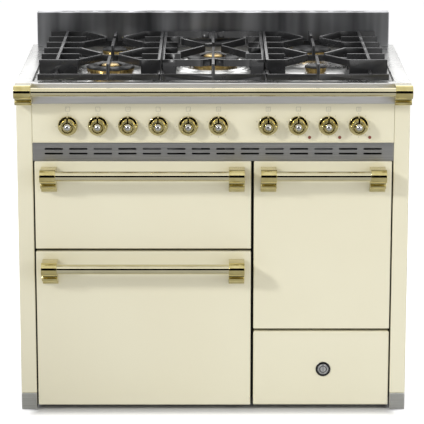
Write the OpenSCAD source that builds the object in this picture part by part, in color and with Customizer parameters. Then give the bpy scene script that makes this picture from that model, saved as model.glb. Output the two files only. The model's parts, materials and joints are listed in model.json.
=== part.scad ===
/* [Overall] */
// Width across the two corner columns
body_w = 1000; // [940:10:1100]
// Depth from the door faces to the rear edge of the worktop
body_d = 600; // [580:5:650]
// Fillet on folded outer edges
edge_r = 3; // [1:0.5:4]

/* [Columns and feet] */
// Width of a corner column seen from the front
column_w = 40; // [36:1:44]
// Depth of a corner column
column_d = 52; // [48:1:70]
// Wall of a corner column
column_wall = 2; // [1:0.5:3]
// Height of the steel boot under a column
boot_h = 48; // [40:1:55]
// Gap between the boot and the floor
boot_lift = 3; // [2:0.5:5]
// Radius of a levelling pad
pad_r = 15; // [12:0.5:17]
// Thickness of a levelling pad
pad_h = 8; // [6:1:10]
// Radius of the levelling screw
stud_r = 6; // [5:0.5:8]

/* [Doors and drawer] */
// Width of the right door and the drawer
right_door_w = 352; // [330:1:370]
// Height of the main oven door
main_door_h = 414; // [400:1:424]
// Height of the grill door
grill_door_h = 230; // [220:1:236]
// Height of the drawer front
drawer_h = 200; // [185:1:215]
// Height of the lowest door edge above the floor
door_z = 15.5; // [14:0.5:20]
// Gap between a door and its neighbour above or below
door_gap = 7; // [5:0.5:9]
// Depth of a door from face to inner panel
door_d = 34; // [32:0.5:37]
// Depth of the pressed outer panel of a door
door_skin_d = 20; // [18:0.5:24]
// Sheet thickness of the pressed outer panels
skin_t = 2; // [1.5:0.1:2.5]
// Running clearance between moving and fixed pieces
fit_gap = 0.3; // [0.2:0.05:0.4]
// Distance of a door hinge axis from the hinged edge
hinge_edge = 9; // [8.5:0.25:11]
// Distance of a door hinge axis behind the door face
hinge_back = 7.5; // [7.5:0.25:10]
// Radius of a door hinge pin
hinge_pin_r = 3; // [2.5:0.25:3.5]
// Thickness of a hinge lug
lug_t = 6; // [4:0.5:8]
// Distance of the hinge lugs from the door corners
lug_inset = 46; // [40:1:60]

/* [Handles] */
// Diameter of the door handle bars
handle_dia = 25; // [20:0.5:27]
// Distance of a door handle axis from the door face
handle_reach = 56; // [48:1:60]
// Distance of a handle axis below the top edge of its door
handle_drop = 27; // [26:1:40]
// Width of a brass handle bracket
bracket_w = 40; // [34:1:44]
// Radius of the rounded nose of a bracket
nose_r = 17; // [15:0.5:19]
// Distance from the door side to its handle bracket
bracket_inset = 17; // [14:1:26]

/* [Hob rail] */
// Diameter of the hob rail
rail_dia = 21; // [18:0.5:24]
// Distance of the rail axis from the door faces
rail_reach = 62; // [56:1:70]
// Drop of the rail axis below the worktop
rail_drop = 13; // [11:0.5:16]

/* [Front panels] */
// Height of the control panel
panel_h = 101; // [95:1:104]
// Height of the worktop's front edge above the control panel
apron_h = 52.5; // [50:0.5:58]
// Thickness of the control panel
panel_t = 2.5; // [2:0.25:3.5]
// Height of the slotted vent strip
vent_h = 47; // [44:1:50]
// Number of slots in one row of the vent strip
slot_count = 14; // [10:1:15]
// Length of a vent slot
slot_l = 47; // [40:1:50]
// Width of a vent slot
slot_w = 4.6; // [3:0.2:5]
// Distance between slot centres along the strip
slot_pitch = 62.45; // [56:0.05:64]
// Distance between the two rows of slots
slot_row = 12.3; // [10:0.1:15]

/* [Knobs] */
// Distance between neighbouring knobs
knob_pitch = 76.5; // [72:0.5:78]
// Distance of the outermost knobs from the corner columns
knob_inset = 91; // [80:1:100]
// Radius of the knob skirt
knob_skirt_r = 25; // [22:0.5:27]
// Radius of the knob barrel
knob_r = 17.5; // [16:0.5:21]
// Length of the knob in front of the panel
knob_l = 40; // [34:1:46]
// Press travel of a burner knob
press_travel = 4; // [3:0.5:5]
// Radius of a control spindle
spindle_r = 3; // [2.5:0.25:4]

/* [Hob] */
// Width of the raised edge at each side of the hob
edge_w = 40; // [34:1:44]
// Depth of the hob wells below the worktop
well_depth = 12; // [8:1:16]
// Width of the middle hob section
centre_w = 268; // [250:1:280]
// Height of the pan supports above the worktop
support_h = 44; // [40:1:50]
// Width of a pan support bar
bar_w = 7; // [6:0.5:9]
// Distance of the front burners behind the door faces
burner_front = 180; // [170:1:200]
// Distance of the middle burner behind the door faces
burner_mid = 325; // [310:1:340]
// Distance of the rear burners behind the door faces
burner_rear = 452; // [430:1:465]
// Height of the splashback above the worktop
splash_h = 95; // [70:1:120]
// Depth of the splashback box
splash_d = 35; // [25:1:40]
// Width of the splashback
splash_w = 970; // [900:5:985]

/* [Oven cavities] */
// Sheet thickness of the enamelled cavities
cavity_t = 2; // [1.5:0.1:2.5]
// Depth of the grill cavity
grill_depth = 400; // [340:5:440]
// Depth of the two oven cavities
oven_depth = 440; // [380:5:460]
// Cover of a door over each side of its cavity mouth
mouth_cover = 36; // [32:1:40]
// Diameter of the shelf wires
wire_dia = 5; // [4:0.5:6]

/* [Drawer] */
// Depth of the drawer box
drawer_d = 460; // [400:5:480]
// Sheet thickness of the drawer box
drawer_t = 1.5; // [1:0.1:2]
// Height of the drawer box walls
drawer_wall_h = 130; // [100:5:150]

/* [Hidden] */
$fn = 48;
eps = 0.01;
sheet_t = 1.5;
nose_reach = rail_reach + nose_r;
face_y = -(body_d - nose_reach) / 2;
rear_y = face_y + body_d;
column_x = body_w / 2 - column_w;
seam = 4;
frame_y = face_y + door_d + 6;
frame_t = 2;
back_inset = 30;
back_y = rear_y - back_inset;

base_z = 24;
base_h = 18;

main_z0 = door_z;
grill_z0 = main_z0 + main_door_h + door_gap;
doors_top = grill_z0 + grill_door_h;
drawer_z0 = door_z;
right_z0 = drawer_z0 + drawer_h + door_gap;
right_door_h = doors_top - right_z0;
left_x0 = -column_x + seam;
left_x1 = column_x - seam - right_door_w - door_gap;
right_x1 = column_x - seam;
right_x0 = right_x1 - right_door_w;
left_door_w = left_x1 - left_x0;
bay_x = (left_x1 + right_x0) / 2;

vent_z0 = doors_top + 1;
panel_z0 = vent_z0 + vent_h + 1;
panel_z1 = panel_z0 + panel_h;
fascia_y = face_y - 6;
knob_z = panel_z0 + panel_h * 0.44;
apron_z0 = panel_z1 + 1;
top_z = apron_z0 + apron_h;
rail_z = top_z - rail_drop;

knob_span = column_x - knob_inset;
knob_xs = [for (i = [0:9]) i < 6 ? -knob_span + i * knob_pitch : knob_span - (9 - i) * knob_pitch];
lamp_xs = [for (i = [7:9]) knob_xs[i] + 29];
lamp_z = knob_z - 31;
lamp_r = 3;
tap_y0 = face_y + 18;
tap_l = 46;
tap_r = 12;
plug_r = 6;
plug_y0 = face_y + 24;
plug_l = 25;
plug_bore = 20;
shaft_gap = 0.2;
manifold_y = tap_y0 + tap_l + 8;
manifold_r = 10;

well_z = top_z - well_depth;
well_y0 = face_y + 16;
well_y1 = rear_y - splash_d - 6;
well_x1 = body_w / 2 - edge_w;
top_t = 3;
support_z1 = top_z + support_h;
frame_z0 = top_z + 2;
frame_z1 = frame_z0 + 16;
finger_h = 17;
boss_proud = 0.5;
support_gap = 3;
fin_count = 6;
support_y0 = well_y0 + 8;
support_y1 = well_y1 - 6;
fin_pitch = 93;
fin_ys = [for (i = [0:fin_count - 1]) support_y1 - i * fin_pitch];
section_x = centre_w / 2;
burner_side_x = (section_x + well_x1) / 2 - 30;
burner_xs = [-burner_side_x, -burner_side_x, 0, burner_side_x, burner_side_x];
burner_ys = [for (d = [burner_rear, burner_front, burner_mid, burner_rear, burner_front]) face_y + d];
burner_rs = [33, 62, 68, 52, 28];
burner_inner_rs = [0, 23, 25, 0, 0];
crown_z0 = well_z + 3;
crown_h = 18;
cap_z0 = crown_z0 + crown_h;
cap_h = 6;
cup_h = 22;

grill_mouth = [left_x0 + mouth_cover, left_x1 - mouth_cover, grill_z0 + 26, doors_top - 36];
main_mouth = [left_x0 + mouth_cover, left_x1 - mouth_cover, main_z0 + 45, main_z0 + main_door_h - 44];
tall_mouth = [right_x0 + mouth_cover, right_x1 - mouth_cover, right_z0 + 34, doors_top - 36];
drawer_box_x0 = right_x0 + 22;
drawer_box_x1 = right_x1 - 22;
drawer_box_z0 = base_z + base_h + 4;
rail_h = 12;
wall_hole_zs = [300, 700];
louvre_z = doors_top - 26.5;
louvre_slot = 5;
frame_vent_w = 170;

// Helpers that several pieces share

// Box given by its lowest and highest corners
module block(lo, hi) {
    translate(lo) cube([hi[0] - lo[0], hi[1] - lo[1], hi[2] - lo[2]]);
}

// Rectangle with rounded corners, centred across and starting at the base line
module rounded_rect(w, h, r) {
    translate([-w / 2 + r, 0]) square([w - 2 * r, h]);
    translate([-w / 2, r]) square([w, h - 2 * r]);
    for (x = [-w / 2 + r, w / 2 - r], z = [r, h - r]) translate([x, z]) circle(r);
}

// Plate in the X-Z plane from a flat outline, its front at y and t deep
module plate_xz(y, t) {
    translate([0, y + t, 0]) rotate([90, 0, 0]) linear_extrude(t) children();
}

// Bar along X from a flat outline drawn as depth across and height up
module profile_x(x0, x1) {
    translate([x0, 0, 0]) rotate([90, 0, 90]) linear_extrude(x1 - x0) children();
}

// Cylinder along X
module rod_x(x0, x1, y, z, r) {
    translate([x0, y, z]) rotate([0, 90, 0]) cylinder(h = x1 - x0, r = r);
}

// Cylinder along Y
module rod_y(x, y0, y1, z, r) {
    translate([x, y0, z]) rotate([-90, 0, 0]) cylinder(h = y1 - y0, r = r);
}

// Slab with rounded front edges, its hinged edge on the base line and its face at y = 0
module soft_slab(w, d, h, r) {
    intersection() {
        plate_xz(0, d) rounded_rect(w, h, r);
        profile_x(-w / 2, w / 2) {
            translate([r, 0]) square([d - r, h]);
            translate([0, r]) square([d, h - 2 * r]);
            for (z = [r, h - r]) translate([r, z]) circle(r);
        }
        linear_extrude(h) {
            translate([-w / 2, r]) square([w, d - r]);
            translate([-w / 2 + r, 0]) square([w - 2 * r, d]);
            for (x = [-w / 2 + r, w / 2 - r]) translate([x, r]) circle(r);
        }
    }
}

// Moves a door drawn with its hinged edge at the bottom to its place on the cooker
module hang(x, z) {
    translate([x, face_y, z]) children();
}

module at_grill_door() {
    hang((left_x0 + left_x1) / 2, grill_z0) children();
}

module at_main_door() {
    hang((left_x0 + left_x1) / 2, main_z0) children();
}

module at_tall_door() {
    hang((right_x0 + right_x1) / 2, right_z0) children();
}

// Doors

// Pressed outer panel with turned back edges, open behind
module door_panel(w, h) {
    difference() {
        soft_slab(w, door_skin_d, h, edge_r);
        block([-w / 2 + skin_t, skin_t, skin_t], [w / 2 - skin_t, door_skin_d + eps, h - skin_t]);
        hinge_slots(w);
    }
}

// Room for the fixed lugs while the door swings
module hinge_slots(w) {
    half = lug_t / 2 + 1;
    for (x = [-w / 2 + lug_inset, w / 2 - lug_inset])
        block([x - half, hinge_back - lug_end_r - 1, -eps],
            [x + half, door_d + eps, hinge_edge + lug_end_r + 1]);
}

lug_end_r = hinge_pin_r + 1.5;

// Insulated inner panel with the hinge pins across its slots
module door_liner(w, h) {
    lap = skin_t + fit_gap;
    difference() {
        union() {
            block([-w / 2 + lap, skin_t, lap], [w / 2 - lap, door_d - 4, h - lap]);
            soft_inner(w, h);
        }
        hinge_slots(w);
    }
    for (x = [-w / 2 + lug_inset, w / 2 - lug_inset])
        rod_x(x - lug_t / 2 - 2, x + lug_t / 2 + 2, hinge_back, hinge_edge, hinge_pin_r);
}

// Raised pressing of the inner panel that faces the oven
module soft_inner(w, h) {
    inset = 14;
    translate([0, door_d - 4 - eps, inset]) plate_xz(0, 4 + eps) rounded_rect(w - 2 * inset, h - 2 * inset, 12);
}

// Fixed lugs on the front frame, one inside each slot of a door
module hinge_lugs(w) {
    reach = frame_y - face_y;
    for (x = [-w / 2 + lug_inset, w / 2 - lug_inset])
        difference() {
            union() {
                rod_x(x - lug_t / 2, x + lug_t / 2, hinge_back, hinge_edge, lug_end_r);
                block([x - lug_t / 2, hinge_back, hinge_edge - lug_end_r],
                    [x + lug_t / 2, reach + eps, hinge_edge + lug_end_r]);
            }
            rod_x(x - lug_t, x + lug_t, hinge_back, hinge_edge, hinge_pin_r + fit_gap);
        }
}

// Handles

// Side outline of a cast bracket: rounded nose round the bar, stepped belly and base flange
module bracket_outline(reach, rise, flange_low) {
    step_r = 11;
    step_u = reach - 25;
    difference() {
        union() {
            translate([-reach, 0]) circle(nose_r);
            translate([-reach, -nose_r + 5]) square([reach, nose_r - 5 + rise]);
            translate([-step_u, -27]) circle(step_r);
            translate([-step_u, -27 - step_r]) square([step_u, 27 + step_r]);
            translate([-7, -flange_low]) square([7, flange_low + rise]);
        }
        translate([-reach + nose_r - 3, -nose_r - 6]) circle(6);
    }
}

// Two brackets with blind bores that hold a bar across a width
module handle_brackets(x0, x1, z) {
    color("#c2ab62") difference() {
        for (x = [x0 + bracket_inset, x1 - bracket_inset - bracket_w])
            translate([x, face_y, z]) profile_x(0, bracket_w) bracket_outline(handle_reach, 13, 51);
        handle_bar(x0, x1, z);
    }
}

module handle_bar(x0, x1, z) {
    color("#cfcabb") rod_x(x0 + bracket_inset + 3, x1 - bracket_inset - 3, face_y - handle_reach, z, handle_dia / 2);
}

// Body

module corner_columns() {
    color("#ddd9bd") for (s = [0, 1]) mirror([s, 0, 0]) difference() {
        translate([column_x + column_w / 2, face_y, boot_h])
            soft_slab(column_w, column_d, apron_z0 - boot_h, edge_r);
        block([column_x + column_wall, face_y + column_wall, boot_h + 4],
            [body_w / 2 - column_wall, face_y + column_d - column_wall, apron_z0 + 1]);
        translate([column_x + column_w / 2, face_y + column_d / 2, boot_h - 1])
            cylinder(h = 6, r = stud_r);
    }
}

module corner_boots() {
    color("#9a9792") for (s = [0, 1]) mirror([s, 0, 0]) difference() {
        translate([column_x + column_w / 2, face_y, boot_lift])
            soft_slab(column_w, column_d, boot_h - boot_lift, edge_r);
        block([column_x + 2, face_y + 2, boot_lift - 1],
            [body_w / 2 - 2, face_y + column_d - 2, boot_h - 2]);
        translate([column_x + column_w / 2, face_y + column_d / 2, boot_h - 3])
            cylinder(h = 6, r = stud_r);
    }
}

// Where the rear feet stand, from the middle and behind the door faces
rear_foot_x = body_w / 2 - 40;
rear_foot_y = back_y - 40;

module foot(x, y, z1) {
    translate([x, y, 0]) rotate_extrude() polygon([[0, 0], [pad_r, 0], [pad_r, pad_h - 3],
        [stud_r + 3, pad_h], [stud_r, pad_h], [stud_r, z1], [0, z1]]);
}

module levelling_feet() {
    color("#6d6c68") for (s = [-1, 1]) {
        foot(s * (column_x + column_w / 2), face_y + column_d / 2, boot_h + 14);
        foot(s * rear_foot_x, rear_foot_y, base_z + 20);
    }
}

// Folded floor tray that ties the columns, sides and back together
module base_frame() {
    half = body_w / 2 - sheet_t;
    t = 2;
    color("#a9abab") difference() {
        union() {
            difference() {
                union() {
                    block([-column_x, frame_y + frame_t, base_z], [column_x, back_y, base_z + base_h]);
                    block([-half, face_y + column_d, base_z], [half, back_y, base_z + base_h]);
                }
                block([-column_x + t, frame_y + frame_t + t, base_z + t],
                    [column_x - t, back_y - t, base_z + base_h + 1]);
                block([-half + t, face_y + column_d + t, base_z + t],
                    [half - t, back_y - t, base_z + base_h + 1]);
            }
            for (s = [-1, 1]) translate([s * rear_foot_x, rear_foot_y, base_z])
                cylinder(h = 12, r = pad_r);
        }
        for (s = [-1, 1]) translate([s * rear_foot_x, rear_foot_y, base_z - 1])
            cylinder(h = base_h, r = stud_r);
    }
}

// Cream sides with a flange turned in along the rear edge
module side_panels() {
    flange = 24;
    y0 = face_y + column_d;
    color("#d6d2b6") for (s = [0, 1]) mirror([s, 0, 0]) difference() {
        union() {
            block([body_w / 2 - sheet_t, y0, base_z], [body_w / 2, rear_y, apron_z0]);
            block([body_w / 2 - flange, back_y, base_z], [body_w / 2, back_y + 2, apron_z0]);
        }
        for (z = wall_hole_zs) rod_y(body_w / 2 - flange / 2, back_y - 1, back_y + 3, z, 2.25);
    }
}

// Galvanised rear cover with louvre slots, the cable gland and a hole for the gas inlet
gas_x = body_w / 2 - 90;
gas_z = knob_z - 15;
cable_x = -body_w / 2 + 110;
cable_z = 140;

module back_panel() {
    w = body_w - 2 * sheet_t;
    color("#a3a6a8") difference() {
        union() {
            block([-w / 2, back_y - sheet_t, base_z + base_h], [w / 2, back_y, apron_z0]);
            rod_y(cable_x, back_y - 6, back_y + 8, cable_z, 15);
        }
        rod_y(cable_x, back_y - 7, back_y + 9, cable_z, 9);
        rod_y(gas_x, back_y - 4, back_y + 1, gas_z, 11.5);
        for (x = [-300:150:300], z = [0:18:72])
            block([x - 45, back_y - 3, louvre_z + z], [x + 45, back_y + 1, louvre_z + z + louvre_slot]);
    }
}

// Upright sheet between the left and right ovens
module bay_divider() {
    color("#a9abab") difference() {
        block([bay_x - 1.5, frame_y + frame_t, base_z + base_h], [bay_x + 1.5, back_y - sheet_t, doors_top + 30]);
        for (y = [120:90:390]) rod_x(bay_x - 3, bay_x + 3, face_y + y, doors_top + 12, 9);
    }
}

function mouth_w(m) = m[1] - m[0];

// Steel frame behind the doors with a hole for each cavity and the lugs of the door hinges
module front_frame() {
    color("#8e9092") {
        difference() {
            block([-column_x, frame_y, base_z], [column_x, frame_y + frame_t, panel_z0]);
            for (m = [grill_mouth, main_mouth, tall_mouth])
                block([m[0], frame_y - 1, m[2]], [m[1], frame_y + frame_t + 1, m[3]]);
            block([drawer_box_x0 - 14, frame_y - 1, drawer_box_z0 - 6],
                [drawer_box_x1 + 14, frame_y + frame_t + 1, right_z0 - 14]);
            for (x = [-1.5:1.5]) translate([x * column_x / 2, 0, 0])
                block([-frame_vent_w / 2, frame_y - 1, vent_z0 + 12],
                    [frame_vent_w / 2, frame_y + frame_t + 1, vent_z0 + vent_h - 12]);
        }
        at_grill_door() hinge_lugs(left_door_w);
        at_main_door() hinge_lugs(left_door_w);
        at_tall_door() hinge_lugs(right_door_w);
    }
}

// Front panels

module control_panel() {
    lip = 3.5;
    color("#ddd9bd") difference() {
        profile_x(-column_x + 0.5, column_x - 0.5) translate([face_y, panel_z0]) {
            square([panel_t, panel_h - 0.5]);
            translate([-lip / 2, 0]) square([lip / 2 + eps, lip]);
            translate([-lip / 2, lip / 2]) circle(lip / 2);
            translate([0, panel_h - 0.5 - panel_t]) square([30, panel_t]);
            square([frame_y + frame_t - face_y, panel_t]);
        }
        for (x = knob_xs) rod_y(x, face_y - 1, face_y + panel_t + 1, knob_z, spindle_r + 2);
        for (x = lamp_xs) rod_y(x, face_y - 1, face_y + panel_t + 1, lamp_z, lamp_r + shaft_gap);
    }
}

module indicator_lamps() {
    color("#b5452f") for (x = lamp_xs) {
        rod_y(x, face_y - 0.8, face_y + 22, lamp_z, lamp_r);
        rod_y(x, face_y - 0.8, face_y, lamp_z, lamp_r + 1);
    }
}

module slot(x, z) {
    half = (slot_l - slot_w) / 2;
    translate([x - half, z - slot_w / 2]) square([2 * half, slot_w]);
    for (e = [-half, half]) translate([x + e, z]) circle(d = slot_w);
}

// Steel strip that lets the cooling air out above the doors
module vent_strip() {
    mid_z = vent_z0 + vent_h * 0.53;
    color("#8d9094") plate_xz(face_y + 2, 2) difference() {
        translate([-column_x + 0.5, vent_z0]) square([2 * column_x - 1, vent_h]);
        for (i = [0:slot_count - 1], s = [-1, 1])
            slot((i - (slot_count - 1) / 2) * slot_pitch, mid_z + s * slot_row / 2);
    }
    color("#8d9094") block([-column_x + 0.5, face_y + 4, vent_z0 + vent_h - 2],
        [column_x - 0.5, frame_y, vent_z0 + vent_h]);
}

// Knobs, taps and controls

// Turned knob with skirt, barrel, domed insert and a pointer rib, on its spindle
module knob_shape(k) {
    skirt_gap = k < 5 ? press_travel + 1 : 1;
    skirt_t = 5;
    y0 = face_y - skirt_gap;
    barrel_l = knob_l - skirt_gap - 10;
    color("#c2ab62") translate([knob_xs[k], y0, knob_z]) rotate([90, 0, 0]) {
        rotate_extrude() {
            square([knob_skirt_r - 1.5, skirt_t]);
            square([knob_skirt_r, skirt_t - 1.5]);
            translate([knob_skirt_r - 1.5, skirt_t - 1.5]) circle(1.5);
            polygon([[0, skirt_t - 1], [knob_r + 1.5, skirt_t - 1], [knob_r - 1, skirt_t + 3],
                [knob_r - 1.5, barrel_l - 6], [knob_r, barrel_l - 4], [knob_r, barrel_l - 1],
                [knob_r - 1, barrel_l], [knob_r - 3, barrel_l], [knob_r - 4, barrel_l - 2],
                [knob_r - 5.5, barrel_l - 2], [knob_r - 6.5, barrel_l + 1], [0, barrel_l + 1]]);
        }
        translate([0, 0, barrel_l]) sphere(r = 10);
        translate([-2, 7, skirt_t - 1]) cube([4, knob_skirt_r - 7, barrel_l - skirt_t + 4]);
        for (a = [0, 180]) rotate(a) translate([knob_r + 0.5, 0, 0]) {
            translate([0, 0, skirt_t - 1]) cylinder(h = barrel_l - skirt_t - 5, r = 3.2);
            translate([0, 0, barrel_l - 7]) sphere(r = 4.4);
        }
    }
    color("#8a8a86") knob_spindle(k);
}

module knob_spindle(k) {
    inside = k < 5 ? plug_y0 + 7 : face_y + 30;
    skirt_gap = k < 5 ? press_travel + 1 : 1;
    difference() {
        rod_y(knob_xs[k], face_y - skirt_gap - eps, inside, knob_z, spindle_r);
        if (k < 5) block([knob_xs[k] - 5, plug_y0 - press_travel - 1, knob_z + spindle_r * 0.6],
            [knob_xs[k] + 5, inside + 1, knob_z + 5]);
    }
}

// Turning cone of a burner tap, with the slot that the knob spindle slides in
module tap_plug(k) {
    flat = spindle_r * 0.6 + shaft_gap;
    color("#b89a54") difference() {
        rod_y(knob_xs[k], plug_y0, plug_y0 + plug_l, knob_z, plug_r);
        intersection() {
            rod_y(knob_xs[k], plug_y0 - 1, plug_y0 + plug_bore, knob_z, spindle_r + shaft_gap);
            block([knob_xs[k] - 5, plug_y0 - 2, knob_z - 5], [knob_xs[k] + 5, plug_y0 + plug_bore + 1, knob_z + flat]);
        }
        rod_y(knob_xs[k], plug_y0 + plug_l - 12, plug_y0 + plug_l - 8, knob_z - plug_r, 1.5);
    }
}

// Pipe run through corner points, with a square elbow fitting at each bend
module pipe(points, r) {
    for (i = [0:len(points) - 2]) {
        a = points[i];
        b = points[i + 1];
        d = b - a;
        l = norm(d);
        translate(a) rotate([0, acos(d[2] / l), atan2(d[1], d[0])]) cylinder(h = l, r = r);
    }
    for (i = [1:len(points) - 2]) translate(points[i]) cube(2 * r + 2, center = true);
}

// Gas rail behind the panel with its five taps and the pipes up to the burners
module gas_manifold() {
    pipe_r = 3;
    rail_z0 = knob_z - 15;
    color("#b7b9ba") {
        rod_x(knob_xs[0] - 30, gas_x - 30, manifold_y, rail_z0, manifold_r);
        pipe([[gas_x - 30 - 12, manifold_y, rail_z0], [gas_x, manifold_y, rail_z0], [gas_x, back_y - 39, gas_z]], 8);
    }
    color("#b89a54") for (k = [0:4]) difference() {
        union() {
            rod_y(knob_xs[k], tap_y0, tap_y0 + tap_l, knob_z, tap_r);
            rod_y(knob_xs[k], tap_y0 + tap_l - 4, manifold_y, rail_z0 + 4, 7);
        }
        rod_y(knob_xs[k], tap_y0 - 1, plug_y0 + plug_l + 1, knob_z, plug_r + shaft_gap);
        rod_x(knob_xs[k] - 20, knob_xs[k] + 20, manifold_y, rail_z0, manifold_r);
    }
    color("#b7b9ba") for (k = [0:4]) feed_pipe(k, pipe_r);
}

// Pipe from one tap to its burner, each at its own level
module feed_pipe(k, r) {
    level = knob_z + tap_r + 10 + k * 9;
    bend_y = tap_y0 + 22;
    bx = burner_xs[k];
    by = burner_ys[k];
    inlet_z = well_z - cup_h + 6;
    side = k == 0 ? -1 : 1;
    lane = k == 0 || k == 3 ? bx + side * 78 : bx;
    end = k == 0 || k == 3 ? [[lane, by, level], [bx, by, level]] : [[bx, by, level]];
    pipe(concat([[knob_xs[k], bend_y, knob_z + tap_r - 2], [knob_xs[k], bend_y, level], [lane, bend_y, level]],
        end, [[bx, by, inlet_z]]), r);
}

// Switch and thermostat bodies behind the other knobs
module oven_controls() {
    color("#d8d6cf") for (k = [5:9]) difference() {
        union() {
            block([knob_xs[k] - 24, face_y + 16, knob_z - 22], [knob_xs[k] + 24, face_y + 58, knob_z + 22]);
            rod_y(knob_xs[k], face_y + panel_t, face_y + 17, knob_z, 7);
        }
        rod_y(knob_xs[k], face_y, face_y + 32, knob_z, spindle_r + shaft_gap);
    }
}

// Connector for the gas hose, behind the rear cover
module gas_inlet() {
    thread_r = 10.48;
    color("#b89a54") difference() {
        union() {
            rod_y(gas_x, back_y - 39, back_y + 1, gas_z, 11);
            rod_y(gas_x, back_y, back_y + 5, gas_z, 14);
            rod_y(gas_x, back_y + 5, back_y + back_inset - 4, gas_z, thread_r);
        }
        rod_y(gas_x, back_y - 20, back_y + back_inset, gas_z, 6.5);
    }
}

// Hob

// Plan of one hob section's well
module section_rect(x0, x1, y0, y1, r) {
    translate([(x0 + x1) / 2, y0]) rounded_rect(x1 - x0, y1 - y0, r);
}

// Steel worktop: raised rim, three pressed wells, turned down front and sides
module worktop() {
    rib = 5;
    half = body_w / 2;
    apron_t = 2;
    sections = [[-well_x1, -section_x - rib], [-section_x + rib, section_x - rib], [section_x + rib, well_x1]];
    color("#b9bbbd") difference() {
        union() {
            difference() {
                profile_x(-half, half) {
                    translate([fascia_y, apron_z0]) square([rear_y - fascia_y, apron_h - edge_r]);
                    translate([fascia_y + edge_r, apron_z0]) square([rear_y - fascia_y - edge_r, apron_h]);
                    translate([fascia_y + edge_r, top_z - edge_r]) circle(edge_r);
                }
                block([-half + apron_t, fascia_y + apron_t, apron_z0 - 1],
                    [half - apron_t, rear_y - apron_t, top_z - top_t]);
            }
            for (s = sections) translate([0, 0, well_z - top_t]) linear_extrude(well_depth)
                section_rect(s[0] - top_t, s[1] + top_t, well_y0 - top_t, well_y1 + top_t, 14);
            for (k = [0:4]) translate([burner_xs[k], burner_ys[k], well_z - 1]) rotate_extrude()
                polygon([[0, 0], [cup_r(k) + 14, 0], [cup_r(k) + 14, 1], [cup_r(k) + 7, 3], [0, 3]]);
        }
        difference() {
            for (s = sections) translate([0, 0, well_z]) linear_extrude(well_depth + 1)
                section_rect(s[0], s[1], well_y0, well_y1, 12);
            for (k = [0:4]) translate([burner_xs[k], burner_ys[k], well_z - 1]) rotate_extrude()
                polygon([[0, 0], [cup_r(k) + 14, 0], [cup_r(k) + 14, 1], [cup_r(k) + 7, 3], [0, 3]]);
        }
        for (k = [0:4]) {
            translate([burner_xs[k], burner_ys[k], well_z - top_t - 1])
                cylinder(h = top_t + 4, r = cup_r(k) + fit_gap);
            translate([electrode_x(k), electrode_y(k), well_z - top_t - 1])
                cylinder(h = top_t + 2, r = electrode_r + fit_gap);
        }
    }
}

function cup_r(k) = burner_rs[k] - 9;
electrode_r = 2.6;
electrode_gap = 11;
function electrode_x(k) = burner_xs[k] - (burner_rs[k] + electrode_gap) * sin(45);
function electrode_y(k) = burner_ys[k] - (burner_rs[k] + electrode_gap) * sin(45);

// Brass crowns with flame slots, their cups reaching through the worktop
module burner_bodies() {
    color("#b8974a") for (k = [0:4]) translate([burner_xs[k], burner_ys[k], 0]) burner_body(burner_rs[k],
        burner_inner_rs[k], cup_r(k));
}

module burner_body(r, inner_r, cup) {
    slots = round(r * 0.55);
    hole = inner_r > 0 ? inner_r + 9 : 0;
    difference() {
        rotate_extrude() {
            translate([0, well_z - cup_h]) square([cup, cup_h + 5]);
            polygon([[0, crown_z0 - 1], [cup + 4, crown_z0 - 1], [r - 5, crown_z0 + 5], [r - 2, crown_z0 + 7],
                [r, crown_z0 + crown_h - 3], [r, crown_z0 + crown_h], [0, crown_z0 + crown_h]]);
        }
        for (i = [0:slots - 1]) rotate([0, 0, i * 360 / slots])
            block([r - 6, -1, crown_z0 + 10], [r + 2, 1, crown_z0 + crown_h - 3]);
        if (inner_r > 0) translate([0, 0, crown_z0 + 9]) difference() {
            cylinder(h = crown_h, r = hole);
            translate([0, 0, -1]) cylinder(h = crown_h + 2, r = inner_r - 3);
        }
        translate([0, 0, well_z - cup_h - 1]) cylinder(h = 12, r = 3 + fit_gap);
    }
}

// Black enamelled caps, and the small brass caps of the two ring burners
module burner_caps() {
    for (k = [0:4]) translate([burner_xs[k], burner_ys[k], cap_z0]) burner_cap(burner_rs[k], burner_inner_rs[k]);
}

module burner_cap(r, inner_r) {
    color("#2b2b2c") rotate_extrude() {
        if (inner_r > 0) polygon([[inner_r + 8, 0], [r + 1, 0], [r + 1, 2], [r - 3, cap_h - 1],
            [r - 7, cap_h], [inner_r + 10, cap_h], [inner_r + 8, cap_h - 2]]);
        else polygon([[0, 0], [r + 1, 0], [r + 1, 2], [r - 3, cap_h - 1], [r - 7, cap_h], [0, cap_h]]);
    }
    if (inner_r > 0) color("#b9a06a") rotate_extrude() polygon([[0, 0], [inner_r - 4, 0], [inner_r, 3],
        [inner_r, cap_h], [inner_r - 3, cap_h + 2], [0, cap_h + 2]]);
}

// Ceramic spark electrodes beside the burners, with their steel tips
module spark_electrodes() {
    color("#e8e6e0") for (k = [0:4]) translate([electrode_x(k), electrode_y(k), well_z - 18]) rotate_extrude()
        polygon([[0, 0], [electrode_r, 0], [electrode_r, 18], [electrode_r + 1.4, 18], [electrode_r + 1.4, 22],
            [electrode_r, 23], [electrode_r, 30], [1, 31], [1, 35], [0, 35]]);
}

// Folded splashback, open behind, with a row of flue slots in its top
module splashback() {
    t = 2;
    y0 = rear_y - splash_d;
    color("#7e8184") difference() {
        translate([0, y0, top_z]) soft_slab(splash_w, splash_d, splash_h, 2);
        block([-splash_w / 2 + t, y0 + t, top_z - 1], [splash_w / 2 - t, rear_y + 1, top_z + splash_h - t]);
        for (i = [-8:8]) block([i * 50 - 18, y0 + splash_d * 0.35, top_z + splash_h - 5],
            [i * 50 + 18, y0 + splash_d * 0.55, top_z + splash_h + 1]);
    }
}

// Rail along the front, its ends inside the two brackets
module hob_rail() {
    color("#cfcabb") rod_x(-body_w / 2 + 6, body_w / 2 - 6, face_y - rail_reach, rail_z, rail_dia / 2);
}

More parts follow.
